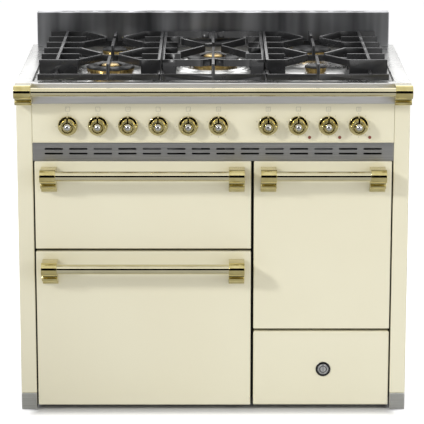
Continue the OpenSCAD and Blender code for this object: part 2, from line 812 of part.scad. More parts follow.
module rail_brackets() {
    w = column_w + 3;
    color("#c2ab62") for (s = [0, 1]) mirror([s, 0, 0]) difference() {
        translate([body_w / 2 - w, fascia_y, rail_z]) profile_x(0, w)
            bracket_outline(fascia_y - face_y + rail_reach, rail_drop, rail_z - apron_z0 - 2);
        hob_rail();
    }
}

// Pan supports

// Straight cast bar between two points of the plan
module bar(p, q, z0, z1) {
    d = q - p;
    translate([p[0], p[1], z0]) rotate(atan2(d[1], d[0])) translate([0, -bar_w / 2, 0])
        cube([norm(d), bar_w, z1 - z0]);
}

// Round swelling of the casting where bars meet or bend
module post(p, z0, z1) {
    translate([p[0], p[1], z0]) cylinder(h = z1 - z0, r = bar_w / 2 + 0.8);
}

// Chain of cast bars through points of the plan
module bars(points, z0, z1) {
    for (i = [0:len(points) - 2]) {
        bar(points[i], points[i + 1], z0, z1);
        post(points[i], z0 - boss_proud, z1 + boss_proud);
    }
}

module support_frame(x0, x1, cross) {
    for (x = [x0, x1]) bar([x, support_y0], [x, support_y1], frame_z0, frame_z1);
    for (y = cross) bar([x0, y], [x1, y], frame_z0, frame_z1);
    for (x = [x0 + foot_in, x1 - foot_in], y = [support_y0, support_y1]) post([x, y], well_z, frame_z0 + 1);
}

foot_in = 12;

// Side support, drawn for the left section
module side_support() {
    x_out = -well_x1 + 14;
    x_in = -section_x - support_gap / 2 - bar_w / 2;
    x_rib = x_out + 46;
    fin_out = x_out + 98;
    fin_in = x_in - 46;
    bx = -burner_side_x;
    mid = (burner_ys[0] + burner_ys[1]) / 2;
    finger_z = support_z1 - finger_h;
    support_frame(x_rib, x_in, [support_y0, mid, support_y1]);
    bar([x_out, support_y0], [x_rib, support_y0], frame_z0, frame_z1);
    for (y = fin_ys) {
        bar([x_out, y], [fin_out, y], frame_z0, support_z1);
        bar([fin_in, y], [x_in, y], frame_z0, support_z1);
    }
    bar([x_rib, fin_ys[5]], [x_rib, fin_ys[0]], frame_z1 - 1, support_z1);
    bar([x_in, fin_ys[5]], [x_in, fin_ys[0]], frame_z1 - 1, support_z1);
    for (row = [[0, 0, 1], [2, 0, -1], [3, 1, 1], [5, 1, -1]]) {
        y = fin_ys[row[0]];
        c = burner_ys[row[1]];
        bars([[fin_out, y], [bx - 24, c + row[2] * 12]], finger_z, support_z1);
        bars([[fin_in, y], [bx + 24, c + row[2] * 12]], finger_z, support_z1);
    }
    bar([bx, support_y1], [bx, burner_ys[0] + 22], finger_z, support_z1);
    bar([bx, mid], [bx, burner_ys[0] - 20], finger_z, support_z1);
    bar([bx, support_y0], [bx, burner_ys[1] - 30], finger_z, support_z1);
    for (y = [support_y0, mid, support_y1]) post([bx, y], frame_z0 + 1, support_z1);
    for (y = [fin_ys[1], fin_ys[4]], s = [[fin_out, bx - 60], [fin_in, bx + 62]])
        bar([s[0], y], [s[1], y], finger_z - 8, support_z1 - 10);
}

// Middle support round the large ring burner
module centre_support() {
    x1 = section_x - support_gap / 2 - bar_w / 2;
    finger_z = support_z1 - finger_h;
    c = burner_ys[2];
    support_frame(-x1, x1, [support_y0, support_y1]);
    for (s = [-1, 1]) {
        bar([s * x1, fin_ys[5]], [s * x1, fin_ys[0]], frame_z1 - 1, support_z1);
        for (y = fin_ys) bar([s * (x1 - 34), y], [s * x1, y], frame_z0, support_z1);
        bars([[s * (x1 - 34), fin_ys[1]], [s * (x1 - 44), fin_ys[1]], [s * (x1 - 44), fin_ys[1] - 28],
            [s * 24, c + 15]], finger_z, support_z1);
        bars([[s * (x1 - 34), fin_ys[4]], [s * (x1 - 40), fin_ys[4]], [s * (x1 - 40), fin_ys[4] + 28],
            [s * 24, c - 15]], finger_z, support_z1);
        bars([[s * (x1 - 34), fin_ys[0]], [s * 30, fin_ys[0]], [s * 8, fin_ys[0] - 14], [0, fin_ys[0] - 34]],
            finger_z, support_z1);
        bars([[s * (x1 - 34), fin_ys[5]], [s * 30, fin_ys[5]], [s * 8, fin_ys[5] + 12], [0, fin_ys[5] + 28]],
            finger_z, support_z1);
    }
    bar([0, support_y1], [0, c + 34], finger_z, support_z1);
    bar([0, support_y0], [0, c - 34], finger_z, support_z1);
    for (y = [support_y0, support_y1]) post([0, y], frame_z0 + 1, support_z1);
}

module pan_support_left() {
    color("#2f3031") side_support();
}

module pan_support_right() {
    color("#2f3031") mirror([1, 0, 0]) side_support();
}

module pan_support_centre() {
    color("#2f3031") centre_support();
}

// Ovens

// Enamelled box with a flange behind the front frame and shelf runners along its sides
module cavity(m, depth, runners) {
    y0 = frame_y + frame_t;
    y1 = y0 + depth;
    difference() {
        union() {
            block([m[0] - cavity_t, y0, m[2] - cavity_t], [m[1] + cavity_t, y1 + cavity_t, m[3] + cavity_t]);
            block([m[0] - 12, y0, m[2] - 12], [m[1] + 12, y0 + cavity_t, m[3] + 12]);
        }
        block([m[0], y0 - 1, m[2]], [m[1], y1, m[3]]);
    }
    for (z = runners, x = [m[0] - eps, m[1] - 8 + eps])
        block([x, y0 + 20, z], [x + 8, y1 - 4, z + 4]);
}

main_runners = [for (i = [0:3]) main_mouth[2] + 60 + i * 62];
tall_runners = [for (i = [0:3]) tall_mouth[2] + 70 + i * 75];
grill_runners = [grill_mouth[2] + 45, grill_mouth[2] + 85];

module grill_cavity() {
    color("#3c3d40") cavity(grill_mouth, grill_depth, grill_runners);
}

module main_cavity() {
    color("#3c3d40") cavity(main_mouth, oven_depth, main_runners);
}

module tall_cavity() {
    color("#3c3d40") cavity(tall_mouth, oven_depth, tall_runners);
}

// Wire shelf on the runners at a height
module wire_shelf(m, depth, z) {
    r = wire_dia / 2;
    x0 = m[0] + r + 1;
    x1 = m[1] - r - 1;
    y0 = frame_y + frame_t + 24;
    y1 = y0 + depth - 40;
    bars = floor((x1 - x0) / 34);
    for (y = [y0, (y0 + y1) / 2, y1]) rod_x(x0, x1, y, z + r, r);
    for (i = [0:bars]) rod_y(x0 + i * (x1 - x0) / bars, y0, y1, z + r, r);
}

module oven_shelves() {
    rest = 4;
    color("#b9bbbd") {
        wire_shelf(main_mouth, oven_depth, main_runners[1] + rest);
        wire_shelf(tall_mouth, oven_depth, tall_runners[1] + rest);
        wire_shelf(grill_mouth, grill_depth, grill_runners[0] + rest);
    }
}

// Ring of seal round one cavity mouth
module seal(m) {
    t = 7;
    y1 = frame_y;
    y0 = face_y + door_d + fit_gap;
    difference() {
        block([m[0] - t - 2, y0, m[2] - t - 2], [m[1] + t + 2, y1, m[3] + t + 2]);
        block([m[0] - 2, y0 - 1, m[2] - 2], [m[1] + 2, y1 + 1, m[3] + 2]);
    }
}

module door_seals() {
    color("#262626") for (m = [grill_mouth, main_mouth, tall_mouth]) seal(m);
}

// Tubular element bent to and fro under a cavity roof, both ends in plates on the rear wall
module element(m, depth, drop, lanes) {
    r = 3.25;
    crimp = 0.4;
    y0 = frame_y + frame_t + 60;
    y1 = frame_y + frame_t + depth;
    z = m[3] - drop;
    last = 2 * lanes - 1;
    step = (mouth_w(m) - 120) / last;
    x0 = m[0] + 60;
    for (i = [0:last]) rod_y(x0 + i * step, y0, i == 0 || i == last ? y1 : y1 - 60, z, r);
    for (i = [0:last - 1]) translate([x0 + (i + 0.5) * step, i % 2 == 0 ? y0 + 1 : y1 - 61, z])
        rotate([0, 0, i % 2 == 0 ? 180 : 0]) rotate_extrude(angle = 180)
            translate([step / 2, 0]) circle(r + crimp);
    for (x = [x0, x0 + last * step]) block([x - 12, y1 - 1.5, z - 10], [x + 12, y1, z + 10]);
}

module heating_elements() {
    color("#4a4642") {
        element(grill_mouth, grill_depth, 20, 3);
        element(main_mouth, oven_depth, 24, 3);
        element(tall_mouth, oven_depth, 24, 2);
    }
}

// Door pieces

module grill_door_panel() {
    color("#ddd9bd") at_grill_door() door_panel(left_door_w, grill_door_h);
}

module grill_door_liner() {
    color("#8e9092") at_grill_door() door_liner(left_door_w, grill_door_h);
}

module grill_handle_bar() {
    handle_bar(left_x0, left_x1, doors_top - handle_drop);
}

module grill_handle_brackets() {
    handle_brackets(left_x0, left_x1, doors_top - handle_drop);
}

module main_door_panel() {
    color("#ddd9bd") at_main_door() door_panel(left_door_w, main_door_h);
}

module main_door_liner() {
    color("#8e9092") at_main_door() door_liner(left_door_w, main_door_h);
}

module main_handle_bar() {
    handle_bar(left_x0, left_x1, main_z0 + main_door_h - handle_drop - 6);
}

module main_handle_brackets() {
    handle_brackets(left_x0, left_x1, main_z0 + main_door_h - handle_drop - 6);
}

module tall_door_panel() {
    color("#ddd9bd") at_tall_door() door_panel(right_door_w, right_door_h);
}

module tall_door_liner() {
    color("#8e9092") at_tall_door() door_liner(right_door_w, right_door_h);
}

module tall_handle_bar() {
    handle_bar(right_x0, right_x1, doors_top - handle_drop);
}

module tall_handle_brackets() {
    handle_brackets(right_x0, right_x1, doors_top - handle_drop);
}

// Drawer

module drawer_front() {
    mid = (right_x0 + right_x1) / 2;
    color("#ddd9bd") difference() {
        translate([mid, face_y, drawer_z0]) soft_slab(right_door_w, door_skin_d, drawer_h, 5);
        block([right_x0 + skin_t, face_y + skin_t, drawer_z0 + skin_t],
            [right_x1 - skin_t, face_y + door_skin_d + 1, drawer_z0 + drawer_h - skin_t]);
    }
}

// Folded box behind the drawer front, with a rail along each side
module drawer_box() {
    y0 = face_y + skin_t;
    y1 = y0 + drawer_d;
    z1 = drawer_box_z0 + drawer_wall_h;
    slide_z = drawer_box_z0 + drawer_wall_h / 2;
    color("#a9abab") {
        difference() {
            block([drawer_box_x0, y0, drawer_box_z0], [drawer_box_x1, y1, z1]);
            block([drawer_box_x0 + drawer_t, y0 + 2, drawer_box_z0 + drawer_t],
                [drawer_box_x1 - drawer_t, y1 - drawer_t, z1 + 1]);
        }
        for (x = [drawer_box_x0 - 5, drawer_box_x1 - eps])
            block([x, y0 + 40, slide_z], [x + 5 + eps, y1, slide_z + rail_h]);
    }
}

// Fixed channels that the drawer runs in, on the divider and on the right side
module drawer_rails() {
    y0 = frame_y + frame_t;
    y1 = y0 + drawer_d - 30;
    slide_z = drawer_box_z0 + drawer_wall_h / 2;
    g = fit_gap;
    color("#8e9092") for (s = [0, 1]) {
        edge = s == 0 ? drawer_box_x0 : drawer_box_x1;
        wall = s == 0 ? bay_x + 1.5 + g : column_x - g;
        lo = min(edge, wall);
        hi = max(edge, wall);
        clear = s == 0 ? [lo, hi - g] : [lo + g, hi];
        difference() {
            block([clear[0], y0, slide_z - 5], [clear[1], y1, slide_z + rail_h + 5]);
            block([s == 0 ? hi - 5 - g : lo - 1, y0 - 1, slide_z - g],
                [s == 0 ? hi + 1 : lo + 5 + g, y1 + 1, slide_z + rail_h + g]);
        }
        for (y = [y0 + 10, y1 - 34]) block([clear[0] + 2, y, base_z + 2], [clear[1] - 6, y + 24, slide_z - 5]);
    }
}

base_frame();
side_panels();
back_panel();
bay_divider();
front_frame();
corner_columns();
corner_boots();
levelling_feet();
control_panel();
vent_strip();
indicator_lamps();
worktop();
splashback();
hob_rail();
rail_brackets();
pan_support_left();
pan_support_centre();
pan_support_right();
burner_bodies();
burner_caps();
spark_electrodes();
gas_manifold();
gas_inlet();
oven_controls();
tap_plug(0);  // tap_plug_1
tap_plug(1);  // tap_plug_2
tap_plug(2);  // tap_plug_3
tap_plug(3);  // tap_plug_4
tap_plug(4);  // tap_plug_5
knob_shape(0);  // knob_1
knob_shape(1);  // knob_2
knob_shape(2);  // knob_3
knob_shape(3);  // knob_4
knob_shape(4);  // knob_5
knob_shape(5);  // knob_6
knob_shape(6);  // knob_7
knob_shape(7);  // knob_8
knob_shape(8);  // knob_9
knob_shape(9);  // knob_10
grill_cavity();
main_cavity();
tall_cavity();
oven_shelves();
door_seals();
heating_elements();
grill_door_panel();
grill_door_liner();
grill_handle_bar();
grill_handle_brackets();
main_door_panel();
main_door_liner();
main_handle_bar();
main_handle_brackets();
tall_door_panel();
tall_door_liner();
tall_handle_bar();
tall_handle_brackets();
drawer_front();
drawer_box();
drawer_rails();
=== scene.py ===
import json
import math

import bmesh
import bpy
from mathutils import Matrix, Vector


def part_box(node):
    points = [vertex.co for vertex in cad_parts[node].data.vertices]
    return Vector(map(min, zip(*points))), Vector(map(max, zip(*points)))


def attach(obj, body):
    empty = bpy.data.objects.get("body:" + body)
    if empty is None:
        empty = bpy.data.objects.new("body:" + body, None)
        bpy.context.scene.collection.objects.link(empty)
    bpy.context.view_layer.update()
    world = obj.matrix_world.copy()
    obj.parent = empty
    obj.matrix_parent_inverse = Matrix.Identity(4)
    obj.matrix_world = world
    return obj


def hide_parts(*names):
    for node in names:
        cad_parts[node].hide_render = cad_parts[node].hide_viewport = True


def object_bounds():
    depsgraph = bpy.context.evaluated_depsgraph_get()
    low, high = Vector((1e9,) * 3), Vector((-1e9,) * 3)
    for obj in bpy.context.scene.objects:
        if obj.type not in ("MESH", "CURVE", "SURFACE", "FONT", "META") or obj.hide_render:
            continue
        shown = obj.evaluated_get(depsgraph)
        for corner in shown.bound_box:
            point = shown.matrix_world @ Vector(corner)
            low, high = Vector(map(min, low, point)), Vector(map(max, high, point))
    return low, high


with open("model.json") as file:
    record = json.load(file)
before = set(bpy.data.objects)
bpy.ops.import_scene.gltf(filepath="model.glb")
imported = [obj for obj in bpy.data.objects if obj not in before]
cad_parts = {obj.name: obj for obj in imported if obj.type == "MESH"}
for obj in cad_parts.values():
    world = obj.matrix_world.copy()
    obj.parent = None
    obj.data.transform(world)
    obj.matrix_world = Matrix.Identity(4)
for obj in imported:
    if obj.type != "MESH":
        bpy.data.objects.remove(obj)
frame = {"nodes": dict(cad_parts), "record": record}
cadBox = [list(corner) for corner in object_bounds()]
nodes = frame["nodes"]
record = frame["record"]
slotOf = {part["node"]: part["material_slot"] for part in record["subparts"]}
bodyOf = {node: body for body, members in record["behaviour"]["bodies"].items() for node in members}
print("frame loaded:", len(nodes), "nodes")

mm = 0.001
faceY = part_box("drawer_front")[0][1]  # plane of the door faces
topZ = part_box("worktop")[1][2]  # upper edge of the worktop


# Colours and node trees

def toLinear(hexCode):
    channels = [int(hexCode[i:i + 2], 16) / 255 for i in (1, 3, 5)]
    return [c / 12.92 if c <= 0.04045 else ((c + 0.055) / 1.055) ** 2.4 for c in channels] + [1.0]


def addNode(tree, kind, values=None, links=None, stops=None, **settings):
    # stops are the places and colours of a colour ramp
    node = tree.nodes.new(kind)
    for name, value in settings.items():
        setattr(node, name, value)
    for socket, value in (values or {}).items():
        node.inputs[socket].default_value = value
    for socket, source in (links or {}).items():
        tree.links.new(source, node.inputs[socket])
    for i, (place, colour) in enumerate(stops or []):
        element = node.color_ramp.elements[i] if i < 2 else node.color_ramp.elements.new(place)
        element.position = place
        element.color = colour
    return node


def newMaterial(name):
    material = bpy.data.materials.new(name)
    material.use_nodes = True
    material.node_tree.nodes.clear()
    return material, material.node_tree


def grey(value):
    return [value, value, value, 1.0]


# Materials

patchScale = {"handled": 7.0, "rubbed": 25.0}  # patches about 140 mm and 40 mm across


def enamelCoat(name, look):
    # vitreous enamel, sprayed and fired on steel: a glassy coat with a faint orange peel
    material, tree = newMaterial(name)
    space = addNode(tree, "ShaderNodeTexCoord").outputs["Object"]
    cloud = addNode(tree, "ShaderNodeTexNoise", {"Scale": 1 / look["cloud"], "Detail": 2.0},
                    {"Vector": space})
    peel = addNode(tree, "ShaderNodeTexNoise", {"Scale": 1 / look["peel"], "Detail": 1.0},
                   {"Vector": space})
    colour = addNode(tree, "ShaderNodeValToRGB", links={"Fac": cloud.outputs["Fac"]},
                     stops=[(0.3, toLinear(look["deep"])), (0.7, toLinear(look["light"]))])
    waves = addNode(tree, "ShaderNodeBump", {"Strength": look["bump"], "Distance": 0.0002},
                    {"Height": peel.outputs["Fac"]})
    shader = addNode(tree, "ShaderNodeBsdfPrincipled",
                     {"Roughness": look["roughness"], "IOR": 1.52, "Coat Weight": look["coat"],
                      "Coat Roughness": 0.05},
                     {"Base Color": colour.outputs["Color"], "Normal": waves.outputs["Normal"]})
    addNode(tree, "ShaderNodeOutputMaterial", links={"Surface": shader.outputs["BSDF"]})
    return material


def brushedMetal(name, look):
    # abrasive lines along one axis, so highlights stretch across them
    material, tree = newMaterial(name)
    space = addNode(tree, "ShaderNodeTexCoord").outputs["Object"]
    scale = [1 / look["line"]] * 3
    scale[look["axis"]] = 1 / look["run"]
    stretched = addNode(tree, "ShaderNodeMapping", {"Scale": scale}, {"Vector": space})
    lines = addNode(tree, "ShaderNodeTexNoise", {"Scale": 1.0, "Detail": 3.0},
                    {"Vector": stretched.outputs["Vector"]})
    handled = addNode(tree, "ShaderNodeTexNoise", {"Scale": patchScale["handled"], "Detail": 3.0},
                      {"Vector": space})
    colour = addNode(tree, "ShaderNodeValToRGB", links={"Fac": lines.outputs["Fac"]},
                     stops=[(0.3, toLinear(look["dark"])), (0.7, toLinear(look["light"]))])
    low, high = look["roughness"]
    rough = addNode(tree, "ShaderNodeMapRange",
                    {"From Min": 0.3, "From Max": 0.7, "To Min": low, "To Max": high},
                    {"Value": handled.outputs["Fac"]})
    grooves = addNode(tree, "ShaderNodeBump", {"Strength": look["bump"], "Distance": 0.0001},
                      {"Height": lines.outputs["Fac"]})
    shader = addNode(tree, "ShaderNodeBsdfPrincipled", {"Metallic": 1.0},
                     {"Base Color": colour.outputs["Color"], "Roughness": rough.outputs["Result"],
                      "Normal": grooves.outputs["Normal"]})
    addNode(tree, "ShaderNodeOutputMaterial", links={"Surface": shader.outputs["BSDF"]})
    return material


def polishedMetal(name, look):
    # buffed metal: clear reflections with a soft polishing haze, duller where a little tarnish lies
    material, tree = newMaterial(name)
    space = addNode(tree, "ShaderNodeTexCoord").outputs["Object"]
    haze = addNode(tree, "ShaderNodeTexNoise", {"Scale": 1 / look["haze"], "Detail": 4.0},
                   {"Vector": space})
    colour = addNode(tree, "ShaderNodeValToRGB", links={"Fac": haze.outputs["Fac"]},
                     stops=[(0.35, toLinear(look["tarnish"])), (0.6, toLinear(look["colour"]))])
    low, high = look["roughness"]
    rough = addNode(tree, "ShaderNodeMapRange",
                    {"From Min": 0.3, "From Max": 0.7, "To Min": high, "To Max": low},
                    {"Value": haze.outputs["Fac"]})
    shader = addNode(tree, "ShaderNodeBsdfPrincipled", {"Metallic": 1.0},
                     {"Base Color": colour.outputs["Color"], "Roughness": rough.outputs["Result"]})
    addNode(tree, "ShaderNodeOutputMaterial", links={"Surface": shader.outputs["BSDF"]})
    return material


def castSurface(name, look):
    # sand casting under a matt coat: fine pits, with rubbed lighter spots
    material, tree = newMaterial(name)
    space = addNode(tree, "ShaderNodeTexCoord").outputs["Object"]
    grain = addNode(tree, "ShaderNodeTexNoise", {"Scale": 1 / look["grain"], "Detail": 4.0},
                    {"Vector": space})
    rubbed = addNode(tree, "ShaderNodeTexNoise", {"Scale": patchScale["rubbed"], "Detail": 3.0},
                     {"Vector": space})
    colour = addNode(tree, "ShaderNodeValToRGB", links={"Fac": rubbed.outputs["Fac"]},
                     stops=[(0.4, toLinear(look["dark"])), (0.75, toLinear(look["light"]))])
    rough = addNode(tree, "ShaderNodeMapRange",
                    {"From Min": 0.3, "From Max": 0.8, "To Min": look["roughness"],
                     "To Max": look["roughness"] - 0.12}, {"Value": rubbed.outputs["Fac"]})
    pits = addNode(tree, "ShaderNodeBump", {"Strength": look["bump"], "Distance": 0.0003},
                   {"Height": grain.outputs["Fac"]})
    shader = addNode(tree, "ShaderNodeBsdfPrincipled", {"IOR": 1.5},
                     {"Base Color": colour.outputs["Color"], "Roughness": rough.outputs["Result"],
                      "Normal": pits.outputs["Normal"]})
    addNode(tree, "ShaderNodeOutputMaterial", links={"Surface": shader.outputs["BSDF"]})
    return material


def zincSheet(name, look):
    # hot-dip galvanising: crystals of zinc about 10 mm across, each at its own brightness
    material, tree = newMaterial(name)
    space = addNode(tree, "ShaderNodeTexCoord").outputs["Object"]
    crystals = addNode(tree, "ShaderNodeTexVoronoi", {"Scale": 1 / look["crystal"]}, {"Vector": space})
    shade = addNode(tree, "ShaderNodeRGBToBW", links={"Color": crystals.outputs["Color"]})
    colour = addNode(tree, "ShaderNodeValToRGB", links={"Fac": shade.outputs["Val"]},
                     stops=[(0.2, toLinear(look["dark"])), (0.8, toLinear(look["light"]))])
    rough = addNode(tree, "ShaderNodeMapRange", {"To Min": 0.42, "To Max": 0.58},
                    {"Value": shade.outputs["Val"]})
    shader = addNode(tree, "ShaderNodeBsdfPrincipled", {"Metallic": 0.85},
                     {"Base Color": colour.outputs["Color"], "Roughness": rough.outputs["Result"]})
    addNode(tree, "ShaderNodeOutputMaterial", links={"Surface": shader.outputs["BSDF"]})
    return material


def moulded(name, look):
    # injection moulding: even colour with a light spark-eroded texture
    material, tree = newMaterial(name)
    space = addNode(tree, "ShaderNodeTexCoord").outputs["Object"]
    grain = addNode(tree, "ShaderNodeTexNoise", {"Scale": 1 / look["grain"], "Detail": 2.0},
                    {"Vector": space})
    colour = addNode(tree, "ShaderNodeValToRGB", links={"Fac": grain.outputs["Fac"]},
                     stops=[(0.3, toLinear(look["dark"])), (0.7, toLinear(look["light"]))])
    sparks = addNode(tree, "ShaderNodeBump", {"Strength": look["bump"], "Distance": 0.0001},
                     {"Height": grain.outputs["Fac"]})
    shader = addNode(tree, "ShaderNodeBsdfPrincipled", {"Roughness": look["roughness"], "IOR": 1.5},
                     {"Base Color": colour.outputs["Color"], "Normal": sparks.outputs["Normal"]})
    addNode(tree, "ShaderNodeOutputMaterial", links={"Surface": shader.outputs["BSDF"]})
    return material


finishes = {
    "cream_enamel": enamelCoat("creamVitreousEnamel", {
        "light": "#f2edd3", "deep": "#efe9ce", "cloud": 0.35, "peel": 0.004, "bump": 0.06,
        "roughness": 0.16, "coat": 0.5}),
    "cavity_enamel": enamelCoat("darkOvenEnamel", {
        "light": "#2b2c30", "deep": "#1b1c1f", "cloud": 0.02, "peel": 0.003, "bump": 0.15,
        "roughness": 0.3, "coat": 0.2}),
    "brushed_steel": brushedMetal("brushedStainlessSteel", {
        "light": "#d6d6d2", "dark": "#c3c3bf", "line": 0.0016, "run": 0.12, "axis": 0,
        "bump": 0.12, "roughness": (0.38, 0.48)}),
    "polished_steel": brushedMetal("satinStainlessSteel", {
        "light": "#dadad8", "dark": "#cacac8", "line": 0.0016, "run": 0.2, "axis": 0,
        "bump": 0.02, "roughness": (0.24, 0.34)}),
    "zinc_plated_steel": brushedMetal("zincPlatedScrewSteel", {
        "light": "#b4b5b0", "dark": "#8f918d", "line": 0.0015, "run": 0.0015, "axis": 2,
        "bump": 0.1, "roughness": (0.35, 0.45)}),
    "chromed_wire": polishedMetal("chromedShelfWire", {
        "colour": "#c9cbcd", "tarnish": "#a9a8a2", "haze": 0.02, "roughness": (0.12, 0.22)}),
    # the warm cream tint of the rail and bar steel is a painted reflection of the cream enamel round it
    "rail_steel": polishedMetal("polishedTubeSteelPaintedCreamReflection", {
        "colour": "#d9d2b2", "tarnish": "#d0c9a8", "haze": 0.08, "roughness": (0.03, 0.05)}),
    "dome_chrome": polishedMetal("chromedKnobDome", {
        "colour": "#c9c9c6", "tarnish": "#bcbcb8", "haze": 0.02, "roughness": (0.04, 0.08)}),
    "polished_brass": polishedMetal("polishedLacqueredBrass", {
        "colour": "#d6ca94", "tarnish": "#c6b87d", "haze": 0.03, "roughness": (0.04, 0.08)}),
    "burner_brass": polishedMetal("turnedBurnerBrass", {
        "colour": "#c9ae72", "tarnish": "#a3874f", "haze": 0.012, "roughness": (0.26, 0.4)}),
    "element_steel": polishedMetal("heatTintedElementSteel", {
        "colour": "#5f5650", "tarnish": "#3f3a3c", "haze": 0.03, "roughness": (0.4, 0.55)}),
    "pipe_aluminium": brushedMetal("drawnAluminiumPipe", {
        "light": "#c6c8ca", "dark": "#aeb0b3", "line": 0.002, "run": 0.1, "axis": 1,
        "bump": 0.05, "roughness": (0.32, 0.42)}),
    "cast_iron": castSurface("mattEnamelledCastIron", {
        "dark": "#232324", "light": "#363637", "grain": 0.0016, "bump": 0.25, "roughness": 0.34}),
    "black_enamel": castSurface("blackEnamelledCap", {
        "dark": "#141414", "light": "#1e1e1e", "grain": 0.002, "bump": 0.12, "roughness": 0.58}),
    "galvanised_sheet": zincSheet("galvanisedSheetSteel", {
        "light": "#b3b7ba", "dark": "#969b9f", "crystal": 0.01}),
    "control_plastic": moulded("mouldedControlPlastic", {
        "light": "#dedbd2", "dark": "#d5d2c8", "grain": 0.002, "bump": 0.2, "roughness": 0.5}),
    "lamp_lens": moulded("clearRedLampLens", {
        "light": "#a65f4e", "dark": "#8d4a3c", "grain": 0.001, "bump": 0.05, "roughness": 0.15}),
    "seal_rubber": moulded("blackSiliconeSeal", {
        "light": "#1f1f1f", "dark": "#161616", "grain": 0.0015, "bump": 0.3, "roughness": 0.6}),
    "electrode_ceramic": moulded("whiteElectrodeCeramic", {
        "light": "#eceae4", "dark": "#dfdcd4", "grain": 0.001, "bump": 0.1, "roughness": 0.4}),
}
printInk = moulded("firedGreyPrint", {
    "light": "#b9b6a2", "dark": "#aeab97", "grain": 0.001, "bump": 0.0, "roughness": 0.4})
blackLacquer = moulded("blackBadgeLacquer", {
    "light": "#1a1a1b", "dark": "#141415", "grain": 0.002, "bump": 0.02, "roughness": 0.12})
badgeSteel = brushedMetal("satinBadgeSteel", {
    "light": "#f4f4f4", "dark": "#9a9c9f", "line": 0.006, "run": 0.02, "axis": 2, "bump": 0.02,
    "roughness": (0.5, 0.6)})
# the wide upright light and dark bands on the splashback steel are a painted reflection, not brushing marks
splashSteelPaintedReflection = brushedMetal("splashbackSteelPaintedReflection", {
    "light": "#dbdcdf", "dark": "#46474b", "line": 0.075, "run": 0.9, "axis": 2, "bump": 0.02,
    "roughness": (0.3, 0.4)})
# copy of the worktop steel for its front faces: a brushed finish, with a tone of its own that is painted
# light on that side of the same sheet
fasciaSteelPaintedTone = brushedMetal("brushedFasciaSteelPaintedTone", {
    "light": "#e4e3e2", "dark": "#d4d3d2", "line": 0.0012, "run": 0.2, "axis": 0, "bump": 0.06,
    "roughness": (0.44, 0.52)})
ventSteel = brushedMetal("brushedVentSteel", {
    "light": "#bababa", "dark": "#a6a6a6", "line": 0.0012, "run": 0.15, "axis": 0, "bump": 0.1,
    "roughness": (0.42, 0.52)})
# the near-black of the front frame, seen through the vent slots and the gaps between the doors, is painted
# shade
frameBlackPaintedShade = castSurface("frameSteelPaintedShade", {
    "dark": "#131312", "light": "#1d1d1b", "grain": 0.003, "bump": 0.1, "roughness": 0.6})

for name, part in nodes.items():
    for place in part.material_slots:
        place.material = finishes[slotOf[name]]
ownFinish = {"front_frame": frameBlackPaintedShade, "splashback": splashSteelPaintedReflection, "vent_strip": ventSteel}
for name, material in ownFinish.items():
    for place in nodes[name].material_slots:
        place.material = material
print("finishes made:", len(bpy.data.materials))


# Pieces

# how near two points are joined, and how flat two faces are merged, in metres and degrees
weldLook = {"copies": 0.002 * mm, "rings": 0.001 * mm, "flat": 0.6}


def newPiece(name, mesh, body, materials):
    piece = bpy.data.objects.new(name, mesh)
    bpy.context.scene.collection.objects.link(piece)
    for material in materials:
        mesh.materials.append(material)
    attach(piece, body)
    return piece


def cleanCopy(node):
    # merged copy of a part's triangles, with flat faces joined up again
    bm = bmesh.new()
    bm.from_mesh(nodes[node].data)
    bmesh.ops.remove_doubles(bm, verts=bm.verts, dist=weldLook["copies"])
    bmesh.ops.dissolve_limit(bm, angle_limit=math.radians(weldLook["flat"]), verts=bm.verts, edges=bm.edges)
    return bm


def roundEdges(bm, width, steps, angle=35):
    sharp = [edge for edge in bm.edges if edge.is_manifold and edge.calc_face_angle(0) > math.radians(angle)]
    bmesh.ops.bevel(bm, geom=sharp, offset=width, offset_type="OFFSET", segments=steps, profile=0.5,
                    affect="EDGES", clamp_overlap=True, harden_normals=False)


def toMesh(bm, name, smoothAngle=30):
    mesh = bpy.data.meshes.new(name)
    bm.to_mesh(mesh)
    bm.free()
    for face in mesh.polygons:
        face.use_smooth = True
    mesh.set_sharp_from_angle(angle=math.radians(smoothAngle))
    return mesh


def rounded(node, look):
    # the same part with its sharp edges eased
    bm = cleanCopy(node)
    roundEdges(bm, look["width"], look["steps"])
    mesh = toMesh(bm, node + "Rounded")
    piece = newPiece(node + "_rounded", mesh, bodyOf[node], [finishes[slotOf[node]]])
    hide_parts(node)


bracketEdge = {"width": 1.2 * mm, "steps": 3}
castEdge = {"width": 1.0 * mm, "steps": 2}
easedEdges = {
    "rail_brackets": bracketEdge,
    "grill_handle_brackets": bracketEdge,
    "main_handle_brackets": bracketEdge,
    "tall_handle_brackets": bracketEdge,
    "pan_support_left": castEdge,
    "pan_support_centre": castEdge,
    "pan_support_right": castEdge,
    "corner_boots": {"width": 2.0 * mm, "steps": 3},
}
for node, look in easedEdges.items():
    rounded(node, look)
print("edges eased:", len(easedEdges))


capLook = {"edge": 0.5 * mm, "steps": 2, "innerRadius": 26 * mm,
           "ringBurners": [(-267 * mm, -80.5 * mm), (0, 64.5 * mm)]}


def makeCaps():
    # black caps, with a small brass cap in the middle of the two ring burners
    bm = cleanCopy("burner_caps")
    roundEdges(bm, capLook["edge"], capLook["steps"])
    for face in bm.faces:
        for x, y in capLook["ringBurners"]:
            if all(math.hypot(v.co.x - x, v.co.y - y) < capLook["innerRadius"] for v in face.verts):
                face.material_index = 1
    piece = newPiece("burner_caps_pressed", toMesh(bm, "burnerCapsPressed"), bodyOf["burner_caps"],
                     [finishes["black_enamel"], finishes["burner_brass"]])
    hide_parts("burner_caps")


makeCaps()
print("burner caps made")


worktopLook = {"edge": 1.0 * mm, "steps": 3, "lip": 4 * mm}


